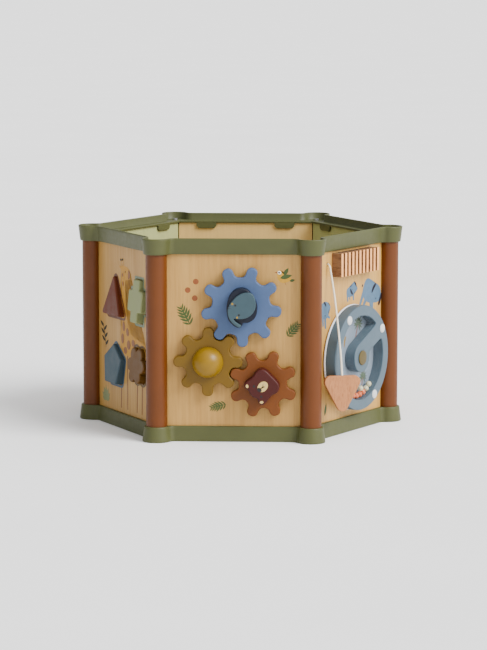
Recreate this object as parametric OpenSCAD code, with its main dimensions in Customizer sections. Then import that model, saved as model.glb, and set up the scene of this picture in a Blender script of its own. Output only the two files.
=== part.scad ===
// Hexagonal wooden activity centre: six plywood play panels held by six posts
// and two moulded rims, with meshing gears, a shape sorter, a bead drum and a
// guiro with a striker on a cord. Millimetres, +Z up. The origin is on the floor
// at the centre of the whole outline, which is five millimetres in front of the
// centre of the hexagon because the gear knobs stand out at the front.

/* [Frame] */
// Distance between neighbouring post centres
side = 200; // [196:1:206]
// Overall height
height = 265; // [262:1:272]
// Post outer radius
post_r = 13.75; // [13:0.25:14.5]
// Plywood panel thickness
panel_t = 6; // [5:0.5:6]
// Corner lobe radius of the rims
lobe_r = 19; // [18.5:0.5:20]
// Rim wall thickness
rim_wall = 3; // [2.5:0.5:3.5]
// Height of the bottom rim
bottom_rim_h = 20; // [20:1:24]
// Height of the top rim
top_rim_h = 21; // [20:1:24]

/* [Gears] */
// Thickness of the three gears
gear_t = 10; // [9:0.5:10]
// Width of a gear tooth
tooth_w = 14; // [12:0.5:14]
// Turn of the middle gear in its rest position
yellow_phase = -0.5; // [-5:0.5:5]
// Radius of the gear axles
axle_r = 4; // [3.5:0.25:4.5]
// Radius of the ball knob
ball_r = 20; // [18:1:20]

/* [Shape sorter] */
// Depth of the sorter blocks
block_d = 26; // [24:1:28]
// Gap round each block in its hole
block_gap = 1.2; // [1.2:0.1:1.6]
// Lean of the blocks in their holes, in degrees
block_lean = 6; // [0:1:6]

/* [Bead drum] */
// Radius of the drum back plate
drum_r = 70; // [68:1:70]
// Radius of the drum ring
drum_ring_r = 69.5; // [66:0.5:69.5]
// Bead diameter
bead_d = 8; // [7:0.5:8]

/* [Guiro and striker] */
// Number of ridges on the guiro
ridges = 11; // [8:1:12]
// Thickness of the striker
striker_t = 7; // [6:0.5:7]
// Diameter of the striker cord
cord_d = 2.5; // [2:0.1:2.5]

/* [Hidden] */

front_shift = 5;                     // hexagon centre to origin, along +Y
A = side * sqrt(3) / 2;              // centre to the line of post centres
rail_out = 3;                        // rim wall face outside that line
fil_r = 8;                           // fillet between lobe and rail
fil_n = rail_out + fil_r;
fil_u = side / 2 - sqrt(pow(lobe_r + fil_r, 2) - pow(fil_n, 2));
p_out = -3;                          // panel outer face, outward from the post line
p_in = p_out - panel_t;
slot_u = side / 2 - 5.7;             // where a panel ends inside its post
web_t = 3;
web_lo = 10;                         // bottom rim web
web_hi = height - 13;                // top rim web
panel_lo = web_lo + web_t + 0.2;
panel_hi = web_hi - 0.2;
boss_r = 4.6;

// Gear centres on the front panel, [across, up]
blue_c = [9.8, 177.3];
yellow_c = [-33.2, 105.2];
orange_c = [38, 76.6];
gear_back = p_out + 1.8;
gear_front = gear_back + gear_t;
dir_by = atan2(blue_c[1] - yellow_c[1], blue_c[0] - yellow_c[0]);      // middle gear to the nine-tooth one
dir_oy = atan2(orange_c[1] - yellow_c[1], orange_c[0] - yellow_c[0]);
blue_phase = dir_by + 180 + 40 * (0.5 - (yellow_phase - dir_by) / 45);
orange_phase = dir_oy + 180 + 45 * (0.5 - (yellow_phase - dir_oy) / 45);
head_r = 7;
knob_h = 21;                         // how far the knobs stand out of the gears

// Sorter block centres on the left panel, [across, up]
tri_c = [-30.5, 167];
cross_c = [43, 175.7];
house_c = [-30.5, 84];
flower_c = [43, 90.7];
block_front = 4.5;

// Bead drum
drum_c = [3.1, 99];
plate_back = p_out + 1.8;
plate_t = 2.5;
ring_back = plate_back + plate_t;
ring_front = 16.5;
win_r = 56;
hub_r = 20;
arm_w = 23;                          // the one arm from the hub, its lower edge 3 mm below the axle
arm_dir = 25.5;
pane_back = 14.1;
bead_r = bead_d / 2;
bead_orbit = win_r - bead_r - 0.4;

// Guiro
guiro_u = [-43.7, 54.5];
guiro_z = [210, 241];
guiro_base = 4;
guiro_front = 12;

// Striker and cord
hole_u = -55;
hole_z = 227.5;
striker_c = [-65, 25.8, 84.9];         // middle of the striker's top edge: across, outward, up
// Cord route: [outward distance along its plane, up]
cord_route = [[0, 227.5], [2, 227.5], [3.9, 226.4], [5.1, 224.2], [6, 221], [7.9, 214], [9.75, 207], [11.5, 200], [13.2, 193],
  [14.75, 186], [16.25, 179], [17.6, 172], [18.9, 165], [20.2, 158], [21.5, 151], [22.75, 144], [24, 137], [25.1, 130],
  [26.2, 123], [27.2, 116], [28.1, 109], [28.9, 102], [29.6, 95], [30.1, 89], [30.487, 84.9]];

// ---- placement -------------------------------------------------------------
module frame() translate([0, front_shift, 0]) children();
// Local axes of a side: X across to the right as seen from outside, -Y outward
module at_side(k) frame() rotate([0, 0, 60 * k]) translate([0, -A, 0]) children();
module at_post(k) frame() rotate([0, 0, 60 * k]) translate([side, 0, 0]) children();
// Extrude a shape drawn [across, up] from outward distance n0 to n1
module slab(n0, n1) translate([0, -n0, 0]) rotate([90, 0, 0]) linear_extrude(height = n1 - n0) children();
module rod(n0, n1, r, c = [0, 0], fn = 64) slab(n0, n1) translate(c) circle(r = r, $fn = fn);

// ---- rims ------------------------------------------------------------------
module hexagon(apothem) circle(r = apothem / cos(30), $fn = 6);
function arc(c, r, a0, a1, n, skip = 0) = [for (i = [skip:n - skip]) c + r * [cos(a0 + (a1 - a0) * i / n), sin(a0 + (a1 - a0) * i / n)]];
// One corner of the outline, moved inward by o: fillet, lobe, fillet
corner = [side, 0];
fil_c = [(A + fil_n) * cos(30) + fil_u * cos(60), -(A + fil_n) * sin(30) + fil_u * sin(60)];
fil_a = atan2(corner[1] - fil_c[1], corner[0] - fil_c[0]);
function corner_pts(o) = concat(
  arc(fil_c, fil_r + o, 150, fil_a, 8),
  arc(corner, lobe_r - o, fil_a - 180, 180 - fil_a, 32, 1),
  arc([fil_c[0], -fil_c[1]], fil_r + o, -fil_a, -150, 8));
module outline(o = 0) polygon([for (k = [0:5]) for (p = corner_pts(o))
  [p[0] * cos(60 * k) - p[1] * sin(60 * k), p[0] * sin(60 * k) + p[1] * cos(60 * k)]]);
module sockets(r) for (k = [0:5]) rotate(60 * k) translate([side, 0]) circle(r = r, $fn = 64);
// A clip tab with cut corners at its free end, behind the panel
module tab(z0, z1, up) slab(-12, -9.3) polygon(up
  ? [[-14, z0], [14, z0], [14, z1 - 3], [11, z1], [-11, z1], [-14, z1 - 3]]
  : [[-14, z1], [14, z1], [14, z0 + 3], [11, z0], [-11, z0], [-14, z0 + 3]]);
module prism(z0, z1) translate([0, 0, z0]) linear_extrude(height = z1 - z0) children();
module bottom_rim() color([0.45, 0.47, 0.33]) {
  frame() difference() {
    prism(0, bottom_rim_h) outline(0);
    prism(-1, web_lo) outline(rim_wall);
    prism(web_lo + web_t, bottom_rim_h + 1) { hexagon(A - 2.7); sockets(post_r + 0.15); }
    prism(-2, bottom_rim_h + 2) { hexagon(A - 12); sockets(1.7); }
  }
  for (k = [0:5]) at_side(k) for (s = [-1, 1]) translate([55 * s, 0, 0]) tab(web_lo + 1, bottom_rim_h - 0.5, true);
}
module top_rim() color([0.45, 0.47, 0.33]) {
  frame() difference() {
    prism(height - top_rim_h, height) outline(0);
    prism(web_hi + web_t, height + 1) outline(rim_wall);
    prism(height - top_rim_h - 1, web_hi) { hexagon(A - 2.7); sockets(post_r + 0.15); }
    prism(height - top_rim_h - 2, height + 2) { hexagon(A - 12); sockets(1.7); }
  }
  for (k = [0:5]) at_side(k) for (s = [-1, 1]) translate([55 * s, 0, 0]) tab(height - top_rim_h + 0.5, web_hi + web_t - 1, false);
}

// ---- posts -----------------------------------------------------------------
// A split tube open to the inside, with a screw boss on a rib
module post(k) color([0.66, 0.38, 0.16]) at_post(k) translate([0, 0, panel_lo])
  linear_extrude(height = panel_hi - panel_lo) difference() {
    union() {
      difference() {
        circle(r = post_r, $fn = 96);
        circle(r = post_r - 2.75, $fn = 96);
        for (s = [-1, 1]) rotate(30 * s) translate([-30, s > 0 ? 8.7 : -28.7]) square([27.3, 20]);
        translate([-20, -8.5]) square([15, 17]);
      }
      circle(r = boss_r, $fn = 48);
      translate([0, -1.2]) square([post_r - 1.5, 2.4]);
    }
    circle(r = 1.6, $fn = 32);
  }
module post_front_left() post(4);
module post_front_right() post(5);
module post_right() post(0);
module post_rear_right() post(1);
module post_rear_left() post(2);
module post_left() post(3);

// Pan-head screws through the rim webs into the post bosses
module screw(z, up) translate([0, 0, z]) mirror([0, 0, up ? 0 : 1]) difference() {
  union() {
    cylinder(r = 3.5, h = 2.2, $fn = 48);
    translate([0, 0, -15]) cylinder(r = 1.5, h = 15, $fn = 32);
  }
  translate([-0.5, -2.2, 1.2]) cube([1, 4.4, 2]);
  translate([-2.2, -0.5, 1.2]) cube([4.4, 1, 2]);
}
module top_screws() color([0.7, 0.7, 0.72]) for (k = [0:5]) at_post(k) screw(web_hi + web_t, true);
module bottom_screws() color([0.7, 0.7, 0.72]) for (k = [0:5]) at_post(k) screw(web_lo, false);

// ---- panels ----------------------------------------------------------------
module panel_face() translate([-slot_u + 0.3, panel_lo]) square([2 * slot_u - 0.6, panel_hi - panel_lo]);
module plain_panel(k) color([0.82, 0.70, 0.52]) at_side(k) slab(p_in, p_out) panel_face();
module front_panel() color([0.80, 0.68, 0.48]) at_side(0) difference() {
  slab(p_in, p_out) panel_face();
  for (c = [blue_c, yellow_c, orange_c]) rod(p_in - 1, p_out + 1, axle_r + 0.05, c);
}
module right_panel() color([0.86, 0.73, 0.54]) at_side(1) difference() {
  slab(p_in, p_out) panel_face();
  rod(p_in - 1, p_out + 1, axle_r + 0.05, drum_c);
  rod(p_in - 1, p_out + 1, 2.2, [hole_u, hole_z], 32);
  for (u = guiro_screw_u) rod(p_in - 1, p_out + 1, 1.8, [u, guiro_mid], 32);
}
module rear_right_panel() plain_panel(2);
module rear_panel() plain_panel(3);
module rear_left_panel() plain_panel(4);
module left_panel() color([0.66, 0.58, 0.44]) at_side(5) difference() {
  slab(p_in, p_out) panel_face();
  for (i = [0:3]) lean(block_c[i]) slab(-40, 40) block_shape(i, block_gap);
}

// ---- gears -----------------------------------------------------------------
// Rounded teeth with U-shaped valleys; the first tooth points along +X
function tooth_pts(r_out, r_root, v) =
  let (w = tooth_w / 2, tip = 6.4, hy = sqrt(pow(r_root + v, 2) - pow(w + v, 2)), a = atan((w + v) / hy))
  concat(arc([hy, -w - v], v, 180 - a, 90, 7), arc([r_out - tip, tip - w], tip, -90, 0, 6),
    arc([r_out - tip, w - tip], tip, 0, 90, 6), arc([hy, w + v], v, -90, a - 180, 7));
module gear_shape(teeth, r_out, r_root, v) polygon([for (k = [0:teeth - 1]) for (p = tooth_pts(r_out, r_root, v))
  let (a = 360 / teeth * k) [p[0] * cos(a) - p[1] * sin(a), p[0] * sin(a) + p[1] * cos(a)]]);
module gear(c, teeth, r_out, r_root, valley_r, phase) at_side(0) difference() {
  slab(gear_back, gear_front) translate(c) rotate(phase) gear_shape(teeth, r_out, r_root, valley_r);
  rod(gear_back - 1, gear_front + 1, axle_r + 0.06, c);
  rod(gear_front - 3, gear_front + 1, head_r + 0.5, c);
}
module blue_gear() color([0.42, 0.50, 0.66]) gear(blue_c, 9, 52.2, 37.6, 6.5, blue_phase);
module yellow_gear() color([0.56, 0.43, 0.05]) gear(yellow_c, 8, 44.6, 31, 6.5, yellow_phase);
module orange_gear() color([0.62, 0.35, 0.12]) gear(orange_c, 8, 44.4, 31, 6.5, orange_phase);

// Headed axle: the head turns free in a counterbore of its gear
module axle(c, head_back) {
  rod(p_in - 3, head_back, axle_r, c);
  rod(head_back, head_back + 2, head_r, c);
}
module cap(c) difference() {
  rod(p_in - 5, p_in, 9, c);
  rod(p_in - 3.2, p_in + 1, axle_r + 0.05, c);
}
module washer(c) difference() {
  rod(p_out, p_out + 1.5, 9, c);
  rod(p_out - 1, p_out + 3, axle_r + 0.2, c);
}
module gear_axles() color([0.75, 0.75, 0.77]) at_side(0) for (c = [blue_c, yellow_c, orange_c]) axle(c, gear_front - 2.7);
module gear_washers() color([0.92, 0.91, 0.88]) at_side(0) for (c = [blue_c, yellow_c, orange_c]) washer(c);
module axle_caps() color([0.92, 0.91, 0.88]) at_side(0) for (c = [blue_c, yellow_c, orange_c]) cap(c);

// Knobs glued to the gears' front faces
// A thick line of round-ended strokes through points [across, up, radius]
module strokes(p, g) for (i = [0:len(p) - 2]) hull() for (q = [p[i], p[i + 1]]) translate([q[0], q[1]]) circle(r = q[2] + g, $fn = 32);
trunk = [[-13.6, -6, 2.6], [-12.2, -13.8, 2.4], [-7, -19.2, 2.2], [-0.8, -22.2, 2.1]];
module elephant_knob() color([0.17, 0.23, 0.35]) at_side(0) slab(gear_front, gear_front + 15)
  translate(blue_c) {
    hull() {
      translate([0, 9.5]) circle(r = 16, $fn = 96);
      translate([9.5, -1]) circle(r = 11.8, $fn = 64);
      translate([-3.5, -3.5]) circle(r = 14.5, $fn = 64);
      translate([9.5, -10]) circle(r = 8.5, $fn = 48);
    }
    strokes(trunk, 1.4);
  }
module elephant_face() color([0.38, 0.52, 0.52]) at_side(0) slab(gear_front + 15, gear_front + knob_h)
  translate(blue_c) {
    hull() {
      translate([-2.4, -0.4]) circle(r = 13.8, $fn = 96);
      translate([8.6, 12.3]) circle(r = 8.5, $fn = 64);
      translate([10.6, 4]) circle(r = 9, $fn = 64);
    }
    strokes(trunk, 0);
  }
module ball_knob() color([0.72, 0.61, 0.24]) at_side(0) translate([yellow_c[0], -gear_front, yellow_c[1]])
  rotate([90, 0, 0]) rotate_extrude($fn = 96) intersection() {
    translate([0, 1.2]) circle(r = ball_r, $fn = 128);
    square([ball_r + 1, ball_r + 2]);
  }
module bear_knob() color([0.40, 0.14, 0.08]) at_side(0) slab(gear_front, gear_front + knob_h - 1)
  translate(orange_c) {
    hull() {
      translate([-1, 13]) circle(r = 9.8, $fn = 48);
      translate([12.5, -0.5]) circle(r = 9.6, $fn = 48);
      translate([-6, -4]) circle(r = 11.5, $fn = 48);
    }
    for (p = [[-18.4, 1.4], [-0.4, -18.6]]) translate(p) circle(r = 5.5, $fn = 48);
    hull() { translate([-17.6, 3]) circle(r = 4.6, $fn = 48); translate([-6, 11.5]) circle(r = 5, $fn = 48); }
    hull() { translate([1, -17.8]) circle(r = 4.6, $fn = 48); translate([10, -6]) circle(r = 5, $fn = 48); }
  }

// ---- shape sorter ----------------------------------------------------------
block_c = [tri_c, cross_c, house_c, flower_c];
// The blocks rest a little nose-up in their holes, tipped about the middle of the panel
module lean(c) translate([c[0], -(p_out + p_in) / 2, c[1]]) rotate([-block_lean, 0, 0])
  translate([0, (p_out + p_in) / 2, 0]) children();
// Outlines about their own centres, grown all round by g
module round_poly(p, r, g) {
  hull() for (q = p) translate(q) circle(r = r + g, $fn = 32);
}
module block_shape(i, g = 0) {
  if (i == 0) round_poly([[0, 31], [-23, -15], [23, -15]], 3, g);
  if (i == 1) {
    translate([-10 - g, -28.5 - g]) square([20 + 2 * g, 57 + 2 * g]);
    translate([-21 - g, -14 - g]) square([42 + 2 * g, 28 + 2 * g]);
  }
  if (i == 2) round_poly([[0, 23.5], [-23.5, 6.5], [-15.5, -24], [15.5, -24], [23.5, 6.5]], 2.5, g);
  if (i == 3) {
    circle(r = 18 + g, $fn = 64);
    for (k = [0:5]) rotate(60 * k + 30) translate([0, 16.5]) circle(r = 9 + g, $fn = 48);
  }
}
module block(i) at_side(5) lean(block_c[i]) slab(block_front - block_d, block_front) block_shape(i);
module triangle_block() color([0.50, 0.24, 0.16]) block(0);
module cross_block() color([0.56, 0.60, 0.44]) block(1);
module house_block() color([0.32, 0.38, 0.47]) block(2);
module flower_block() color([0.44, 0.33, 0.13]) block(3);

// ---- bead drum -------------------------------------------------------------
module window_shape(shrink = 0) {
  r = 6;
  offset(r = r - shrink, $fn = 32) offset(delta = -r) difference() {
    circle(r = win_r, $fn = 96);
    circle(r = hub_r, $fn = 64);
    rotate(arm_dir) translate([0, -3]) square([100, arm_w]);
  }
}
module drum_axle() color([0.75, 0.75, 0.77]) at_side(1) axle(drum_c, ring_front - 5);
module drum_washer() color([0.92, 0.91, 0.88]) at_side(1) washer(drum_c);
module drum_axle_cap() color([0.92, 0.91, 0.88]) at_side(1) cap(drum_c);
module drum_back_plate() color([0.90, 0.91, 0.93]) at_side(1) difference() {
  rod(plate_back, ring_back, drum_r, drum_c, 128);
  rod(plate_back - 1, ring_back + 1, axle_r + 0.06, drum_c);
}
module drum_ring() color([0.50, 0.57, 0.63]) at_side(1) difference() {
  rod(ring_back, ring_front, drum_ring_r, drum_c, 128);
  slab(ring_back - 1, ring_front + 1) translate(drum_c) window_shape();
  rod(ring_back - 1, ring_front + 1, axle_r + 0.06, drum_c);
  rod(ring_front - 5.3, ring_front + 1, head_r + 0.5, drum_c);
}
module drum_windows() color([0.9, 0.95, 1, 0.3]) at_side(1)
  slab(pane_back, pane_back + 1.2) translate(drum_c) window_shape(0.1);
module drum_pins() color([0.93, 0.93, 0.91]) at_side(1) for (a = [32, 122, 212, 302])
  translate([drum_c[0] + 62.6 * cos(a), -ring_front, drum_c[1] + 62.6 * sin(a)]) rotate([90, 0, 0])
    rotate_extrude($fn = 48) intersection() {
      translate([0, -8]) circle(r = 10, $fn = 96);
      square([6, 3]);
    }
module drum_cap() color([0.55, 0.48, 0.28]) at_side(1) rod(ring_front, ring_front + 1.6, 9.7, drum_c);
// Loose beads, lying together at the bottom of the window
module drum_beads() color([0.88, 0.55, 0.38]) at_side(1) {
  for (a = [-101, -91, -81, -71, -61, -51])
    translate([drum_c[0] + bead_orbit * cos(a), -(ring_back + pane_back) / 2, drum_c[1] + bead_orbit * sin(a)])
      sphere(r = bead_r, $fn = 32);
  for (a = [-76])
    translate([drum_c[0] + (bead_orbit - 7.1) * cos(a), -(ring_back + pane_back) / 2, drum_c[1] + (bead_orbit - 7.1) * sin(a)])
      sphere(r = bead_r, $fn = 32);
}

// ---- guiro -----------------------------------------------------------------
guiro_mid = (guiro_z[0] + guiro_z[1]) / 2;
pitch = (guiro_u[1] - guiro_u[0] - 5) / (ridges - 1);
guiro_screw_u = [guiro_u[0] + 2.5 + pitch, guiro_u[1] - 2.5 - pitch];
module guiro_block() color([0.60, 0.42, 0.28]) at_side(1) difference() {
  slab(p_out, guiro_front) translate([guiro_u[0], guiro_z[0]])
    square([guiro_u[1] - guiro_u[0], guiro_z[1] - guiro_z[0]]);
  for (i = [0:ridges - 2]) slab(guiro_base, guiro_front + 1)
    translate([guiro_u[0] + 5 + pitch * i, guiro_z[0] - 1]) square([pitch - 5, guiro_z[1] - guiro_z[0] + 2]);
  for (u = guiro_screw_u) rod(p_out - 1, p_out + 6, 1.25, [u, guiro_mid], 32);
}
module guiro_screws() color([0.7, 0.7, 0.72]) at_side(1) for (u = guiro_screw_u) {
  rod(p_in - 2.2, p_in, 3.5, [u, guiro_mid], 48);
  rod(p_in, p_out + 5, 1.2, [u, guiro_mid], 32);
}

// ---- striker on its cord ---------------------------------------------------
// A rounded triangle on its point, hung by a hole in its top edge
module striker() color([0.80, 0.60, 0.46]) at_side(1) translate([striker_c[0], -striker_c[1], striker_c[2]])
  rotate([0, 0, -45]) difference() {
    slab(-striker_t / 2, striker_t / 2) hull() {
      for (s = [-1, 1]) translate([16 * s, -8]) circle(r = 8, $fn = 32);
      translate([0, -39.5]) circle(r = 7.5, $fn = 32);
    }
    translate([0, 0, -6]) cylinder(r = cord_d / 2 + 0.1, h = 7, $fn = 24);
  }
// The cord lies in one upright plane from the panel hole to the striker
cord_run = [striker_c[0] - hole_u, striker_c[1] - p_out];
cord_len = norm(cord_run);
function cord_pt(i) = [hole_u + cord_route[i][0] * cord_run[0] / cord_len,
                       -(p_out + cord_route[i][0] * cord_run[1] / cord_len), cord_route[i][1]];
function unit(v) = v / norm(v);
cord_n = len(cord_route);
function cord_dir(i) = i == 0 ? unit([cord_run[0], -cord_run[1], 0])
  : i == cord_n - 1 ? [0, 0, -1] : unit(cord_pt(i + 1) - cord_pt(i - 1));
cord_side = unit(cross([cord_run[0], -cord_run[1], 0], [0, 0, 1]));
module striker_cord() color([0.93, 0.88, 0.78]) at_side(1) {
  pts = [for (i = [0:cord_n - 1]) let (t = cord_dir(i), b = cross(t, cord_side))
    for (j = [0:7]) cord_pt(i) + cord_d / 2 * (cord_side * cos(45 * j) + b * sin(45 * j))];
  faces = concat([[for (j = [7:-1:0]) j]],
    [for (i = [0:cord_n - 2]) for (j = [0:7]) [i * 8 + j, i * 8 + (j + 1) % 8, i * 8 + 8 + (j + 1) % 8, i * 8 + 8 + j]],
    [[for (j = [0:7]) (cord_n - 1) * 8 + j]]);
  polyhedron(points = pts, faces = faces);
}
module cord_knot() color([0.93, 0.88, 0.78]) at_side(1) translate([hole_u, -(p_in - 3.4), hole_z]) sphere(r = 3.4, $fn = 32);

bottom_rim();
top_rim();
post_front_left();
post_front_right();
post_right();
post_rear_right();
post_rear_left();
post_left();
front_panel();
right_panel();
rear_right_panel();
rear_panel();
rear_left_panel();
left_panel();
top_screws();
bottom_screws();
gear_axles();
gear_washers();
axle_caps();
blue_gear();
elephant_knob();
elephant_face();
yellow_gear();
ball_knob();
orange_gear();
bear_knob();
triangle_block();
cross_block();
house_block();
flower_block();
drum_axle();
drum_washer();
drum_axle_cap();
drum_back_plate();
drum_ring();
drum_windows();
drum_pins();
drum_cap();
drum_beads();
guiro_block();
guiro_screws();
striker();
striker_cord();
cord_knot();
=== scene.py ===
import math
import bmesh
import bpy
from mathutils import Matrix, Vector, noise


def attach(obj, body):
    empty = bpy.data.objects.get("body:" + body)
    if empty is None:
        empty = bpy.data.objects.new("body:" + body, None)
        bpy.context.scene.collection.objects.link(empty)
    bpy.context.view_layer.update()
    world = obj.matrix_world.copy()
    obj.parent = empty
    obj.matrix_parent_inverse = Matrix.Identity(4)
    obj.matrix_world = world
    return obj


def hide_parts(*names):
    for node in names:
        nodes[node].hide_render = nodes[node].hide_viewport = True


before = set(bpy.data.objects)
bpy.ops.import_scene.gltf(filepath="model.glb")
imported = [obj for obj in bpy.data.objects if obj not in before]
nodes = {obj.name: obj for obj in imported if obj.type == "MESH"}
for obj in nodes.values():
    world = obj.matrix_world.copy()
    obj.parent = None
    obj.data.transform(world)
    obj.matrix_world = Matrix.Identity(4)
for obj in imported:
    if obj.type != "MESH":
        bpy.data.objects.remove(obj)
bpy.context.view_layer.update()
scene = bpy.context.scene

# ---------------------------------------------------------------- geometry of the hexagon, in mm
SIDE = 200.0
A = SIDE * math.sqrt(3) / 2
SHIFT = 5.0
H = 265.0
P_OUT, P_IN = -3.0, -9.0


def side_matrix(k):
    """Local x across, y up, z outward on side k, in mm, to the row frame in metres."""
    a = math.radians(60 * k - 90)
    n = Vector((math.cos(a), math.sin(a), 0))
    u = Vector((-math.sin(a), math.cos(a), 0))
    o = n * A + Vector((0, SHIFT, 0))
    m = Matrix(((u.x, 0, n.x, o.x), (u.y, 0, n.y, o.y), (0, 1, 0, 0), (0, 0, 0, 1)))
    s = Matrix.Scale(0.001, 4)
    return s @ m


def W(k, u, n, z):
    return side_matrix(k) @ Vector((u, z, n))


# ---------------------------------------------------------------- camera
AZ, EL, DIST = math.radians(2.611), math.radians(7.821), 3.5814
fwd = Vector((-math.sin(AZ) * math.cos(EL), math.cos(AZ) * math.cos(EL), -math.sin(EL)))
right = Vector((math.cos(AZ), math.sin(AZ), 0))
target = right * 0.004721 + Vector((0, SHIFT / 1000, 0.1289))
cam_data = bpy.data.cameras.new("camera")
cam_data.sensor_fit = "VERTICAL"
cam_data.sensor_height = 36.0
cam_data.lens = 2640.8 / 650 * 36.0
cam_data.clip_end = 200
cam = bpy.data.objects.new("camera", cam_data)
scene.collection.objects.link(cam)
cam.location = target - fwd * DIST
cam.rotation_euler = fwd.to_track_quat("-Z", "Y").to_euler()
scene.camera = cam

# ---------------------------------------------------------------- materials


def C(r, g, b):
    f = lambda v: v / 12.92 if v <= 0.04045 else ((v + 0.055) / 1.055) ** 2.4
    return (f(r / 255), f(g / 255), f(b / 255), 1.0)


def K(c, kr, kg, kb):
    """A colour trimmed for the strength of the studio light."""
    return (c[0] * kr, c[1] * kg, c[2] * kb, 1.0)


def tone(c, k):
    return (min(1, c[0] * k), min(1, c[1] * k), min(1, c[2] * k), 1.0)


class Mat:
    """A small builder for procedural materials in the row frame."""

    def __init__(self, name, turn=0.0, offset=(0, 0, 0)):
        self.m = bpy.data.materials.new(name)
        self.m.use_nodes = True
        self.t = self.m.node_tree
        self.b = next(n for n in self.t.nodes if n.type == "BSDF_PRINCIPLED")
        self.b.inputs["Specular IOR Level"].default_value = 0.28
        tc = self.t.nodes.new("ShaderNodeTexCoord")
        self.map = self.t.nodes.new("ShaderNodeMapping")
        self.t.links.new(tc.outputs["Object"], self.map.inputs["Vector"])
        self.map.inputs["Rotation"].default_value = (0, 0, -math.radians(turn))
        self.map.inputs["Location"].default_value = offset
        self.co = self.map.outputs["Vector"]

    def node(self, kind, **kw):
        n = self.t.nodes.new(kind)
        for k, v in kw.items():
            setattr(n, k, v)
        return n

    def link(self, a, b):
        self.t.links.new(a, b)

    def scaled(self, sx, sy, sz, vec=None):
        n = self.node("ShaderNodeMapping")
        n.inputs["Scale"].default_value = (sx, sy, sz)
        self.link(vec or self.co, n.inputs["Vector"])
        return n.outputs["Vector"]

    def noise(self, vec, scale, detail=3.0, rough=0.55, distort=0.0):
        n = self.node("ShaderNodeTexNoise")
        n.inputs["Scale"].default_value = scale
        n.inputs["Detail"].default_value = detail
        n.inputs["Roughness"].default_value = rough
        n.inputs["Distortion"].default_value = distort
        self.link(vec, n.inputs["Vector"])
        return n.outputs["Fac"]

    def ramp(self, fac, stops):
        n = self.node("ShaderNodeValToRGB")
        e = n.color_ramp.elements
        while len(e) < len(stops):
            e.new(0.5)
        for i, (p, c) in enumerate(stops):
            e[i].position = p
            e[i].color = c
        self.link(fac, n.inputs["Fac"])
        return n.outputs["Color"]

    def mix(self, fac, a, b, mode="MIX"):
        n = self.node("ShaderNodeMix", data_type="RGBA", blend_type=mode)
        for s, v in (("Factor", fac), ("A", a), ("B", b)):
            sock = [i for i in n.inputs if i.name == s and (i.type == "RGBA" or (s == "Factor" and i.type == "VALUE"))][0]
            if isinstance(v, (int, float, tuple)):
                sock.default_value = v
            else:
                self.link(v, sock)
        return [o for o in n.outputs if o.type == "RGBA"][0]

    def math(self, op, a, b=0.0, clamp=False):
        n = self.node("ShaderNodeMath", operation=op, use_clamp=clamp)
        for i, v in enumerate((a, b)):
            if isinstance(v, (int, float)):
                n.inputs[i].default_value = v
            else:
                self.link(v, n.inputs[i])
        return n.outputs[0]

    def remap(self, fac, lo, hi, a=0.0, b=1.0):
        n = self.node("ShaderNodeMapRange")
        n.inputs["From Min"].default_value = lo
        n.inputs["From Max"].default_value = hi
        n.inputs["To Min"].default_value = a
        n.inputs["To Max"].default_value = b
        self.link(fac, n.inputs["Value"])
        return n.outputs["Result"]

    def edge(self):
        """Lighter along convex edges, from the mesh's own curvature."""
        g = self.node("ShaderNodeNewGeometry")
        return self.remap(g.outputs["Pointiness"], 0.515, 0.60)

    def color(self, c):
        self.link(c, self.b.inputs["Base Color"])

    def rough(self, fac, lo, hi):
        self.link(self.remap(fac, 0.3, 0.7, lo, hi), self.b.inputs["Roughness"])

    def bump(self, fac, strength, dist=0.0003):
        n = self.node("ShaderNodeBump")
        n.inputs["Strength"].default_value = strength
        n.inputs["Distance"].default_value = dist
        self.link(fac, n.inputs["Height"])
        self.link(n.outputs["Normal"], self.b.inputs["Normal"])


def plastic(name, c, rough=(0.38, 0.50), wear=0.10, grain=0.10, coat=0.0):
    """Moulded plastic: faint flow mottling, fine mould grain, paler rubbed edges."""
    m = Mat(name)
    big = m.noise(m.co, 28, 3, 0.6, 0.4)
    fine = m.noise(m.co, 2600, 2, 0.6)
    base = m.ramp(big, [(0.30, tone(c, 0.94)), (0.70, tone(c, 1.05))])
    base = m.mix(m.math("MULTIPLY", m.edge(), wear), base, tone(c, 1.7))
    m.color(base)
    m.rough(m.noise(m.co, 160, 4, 0.6), *rough)
    m.bump(fine, grain, 0.00012)
    if coat:
        m.b.inputs["Coat Weight"].default_value = coat
        m.b.inputs["Coat Roughness"].default_value = 0.2
    return m.m


def paint(name, c, turn=0, grain=(9, 9, 1.2), rough=(0.42, 0.58), wear=0.22, relief=0.16):
    """Satin paint on wood: the grain telegraphs through, with tiny mottling and rubbed edges."""
    m = Mat(name, turn)
    g = m.noise(m.scaled(*grain), 60, 5, 0.62, 0.3)
    mottle = m.noise(m.co, 95, 4, 0.6)
    base = m.ramp(mottle, [(0.28, tone(c, 0.93)), (0.72, tone(c, 1.06))])
    base = m.mix(m.remap(g, 0.45, 0.75, 0.0, 0.12), base, tone(c, 0.72))
    base = m.mix(m.math("MULTIPLY", m.edge(), wear), base, tone(c, 1.75))
    m.color(base)
    m.rough(mottle, *rough)
    both = m.math("ADD", m.math("MULTIPLY", g, 0.8), m.math("MULTIPLY", m.noise(m.co, 1500, 2, 0.6), 0.35))
    m.bump(both, relief, 0.00018)
    return m.m


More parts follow.
